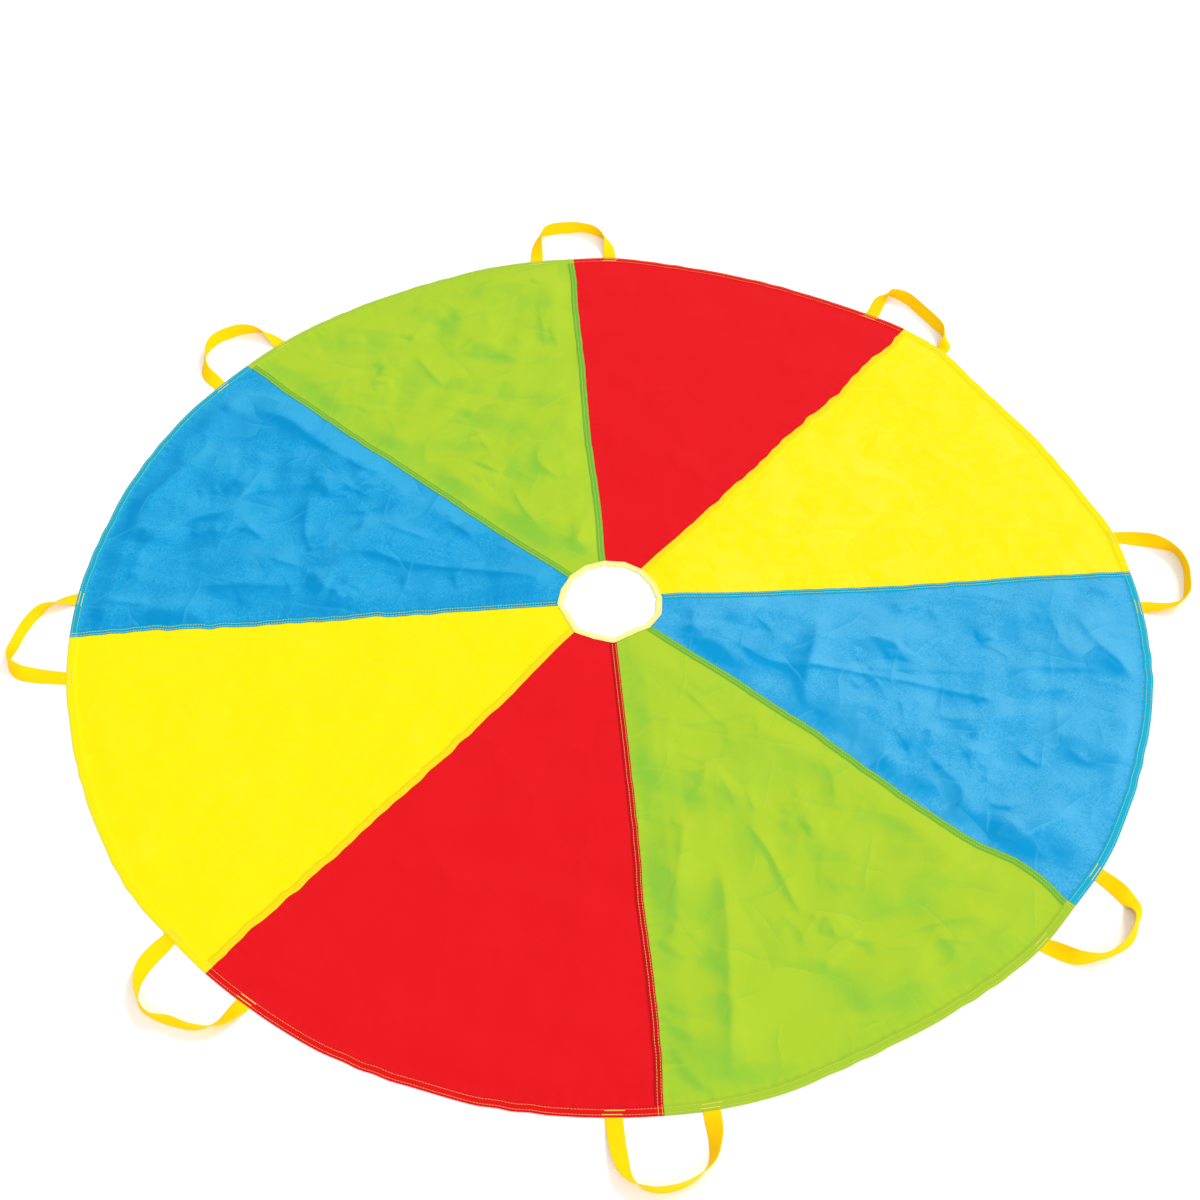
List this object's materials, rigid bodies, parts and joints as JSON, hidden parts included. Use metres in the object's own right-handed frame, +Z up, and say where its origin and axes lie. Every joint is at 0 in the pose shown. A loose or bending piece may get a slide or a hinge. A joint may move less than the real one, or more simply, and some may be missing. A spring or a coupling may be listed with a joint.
{
  "type": "play parachute",
  "caption": "Round play parachute of coloured cloth gores lying flat, with a bound hole in the middle and webbing hand loops along its hemmed rim.",
  "frame": {"origin": "on the floor under the centre of the hole in the middle of the canopy", "axes": "+Z up from the floor; +Y along seam 1, between the green gore 8 and the red gore 1; seams and gores are numbered clockwise from above"},
  "size_m": [2.0197, 2.0272, 0.025],
  "materials": {
    "red_cloth": "smooth plain-woven cloth, slightly satin",
    "yellow_cloth": "smooth plain-woven cloth, slightly satin",
    "blue_cloth": "smooth plain-woven cloth, slightly satin",
    "green_cloth": "smooth plain-woven cloth, slightly satin",
    "webbing": "ribbed woven webbing, matt",
    "binding": "folded tape, matt",
    "thread": "twisted sewing thread, matt"
  },
  "bodies": {
    "canopy": {"gore_1_red": "red_cloth", "gore_2_yellow": "yellow_cloth", "gore_3_blue": "blue_cloth", "gore_4_green": "green_cloth", "gore_5_red": "red_cloth", "gore_6_yellow": "yellow_cloth", "gore_7_blue": "blue_cloth", "gore_8_green": "green_cloth", "seam_stitching_1": "thread", "seam_stitching_2": "thread", "seam_stitching_3": "thread", "seam_stitching_4": "thread", "seam_stitching_5": "thread", "seam_stitching_6": "thread", "seam_stitching_7": "thread", "seam_stitching_8": "thread", "loop_end_1a": "webbing", "loop_end_1b": "webbing", "loop_end_2a": "webbing", "loop_end_2b": "webbing", "loop_end_3a": "webbing", "loop_end_3b": "webbing", "loop_end_4a": "webbing", "loop_end_4b": "webbing", "loop_end_5a": "webbing", "loop_end_5b": "webbing", "loop_end_6a": "webbing", "loop_end_6b": "webbing", "loop_end_7a": "webbing", "loop_end_7b": "webbing", "loop_end_8a": "webbing", "loop_end_8b": "webbing", "tack_1a": "thread", "tack_1b": "thread", "tack_2a": "thread", "tack_2b": "thread", "tack_3a": "thread", "tack_3b": "thread", "tack_4a": "thread", "tack_4b": "thread", "tack_5a": "thread", "tack_5b": "thread", "tack_6a": "thread", "tack_6b": "thread", "tack_7a": "thread", "tack_7b": "thread", "tack_8a": "thread", "tack_8b": "thread", "hem_stitching": "thread"},
    "crown": {"centre_binding": "binding", "binding_stitching": "thread"},
    "handle_1": {"hand_loop_1": "webbing"},
    "handle_2": {"hand_loop_2": "webbing"},
    "handle_3": {"hand_loop_3": "webbing"},
    "handle_4": {"hand_loop_4": "webbing"},
    "handle_5": {"hand_loop_5": "webbing"},
    "handle_6": {"hand_loop_6": "webbing"},
    "handle_7": {"hand_loop_7": "webbing"},
    "handle_8": {"hand_loop_8": "webbing"}
  },
  "joints": [
    {"name": "crown_billow", "type": "slide", "parent": "canopy", "child": "crown", "axis": [0, 0, 1], "range_m": [0, 0.15], "deforming": ["gore_1_red", "gore_2_yellow", "gore_3_blue", "gore_4_green", "gore_5_red", "gore_6_yellow", "gore_7_blue", "gore_8_green", "seam_stitching_1", "seam_stitching_2", "seam_stitching_3", "seam_stitching_4", "seam_stitching_5", "seam_stitching_6", "seam_stitching_7", "seam_stitching_8"]},
    {"name": "loop_1_fold", "type": "hinge", "parent": "canopy", "child": "handle_1", "pos_m": [0, 0.91326, 0.0031], "axis": [1, 0, 0], "range_deg": [0, 150]},
    {"name": "loop_2_fold", "type": "hinge", "parent": "canopy", "child": "handle_2", "pos_m": [0.64577, 0.64577, 0.0031], "axis": [0.7071, -0.7071, 0], "range_deg": [0, 120]},
    {"name": "loop_3_fold", "type": "hinge", "parent": "canopy", "child": "handle_3", "pos_m": [0.91326, 0, 0.0031], "axis": [0, -1, 0], "range_deg": [0, 150]},
    {"name": "loop_4_fold", "type": "hinge", "parent": "canopy", "child": "handle_4", "pos_m": [0.64577, -0.64577, 0.0031], "axis": [-0.7071, -0.7071, 0], "range_deg": [0, 150]},
    {"name": "loop_5_fold", "type": "hinge", "parent": "canopy", "child": "handle_5", "pos_m": [0, -0.91326, 0.0031], "axis": [-1, 0, 0], "range_deg": [0, 150]},
    {"name": "loop_6_fold", "type": "hinge", "parent": "canopy", "child": "handle_6", "pos_m": [-0.64577, -0.64577, 0.0031], "axis": [-0.7071, 0.7071, 0], "range_deg": [0, 150]},
    {"name": "loop_7_fold", "type": "hinge", "parent": "canopy", "child": "handle_7", "pos_m": [-0.91326, 0, 0.0031], "axis": [0, 1, 0], "range_deg": [0, 140]},
    {"name": "loop_8_fold", "type": "hinge", "parent": "canopy", "child": "handle_8", "pos_m": [-0.64577, 0.64577, 0.0031], "axis": [0.7071, 0.7071, 0], "range_deg": [0, 150]}
  ]
}
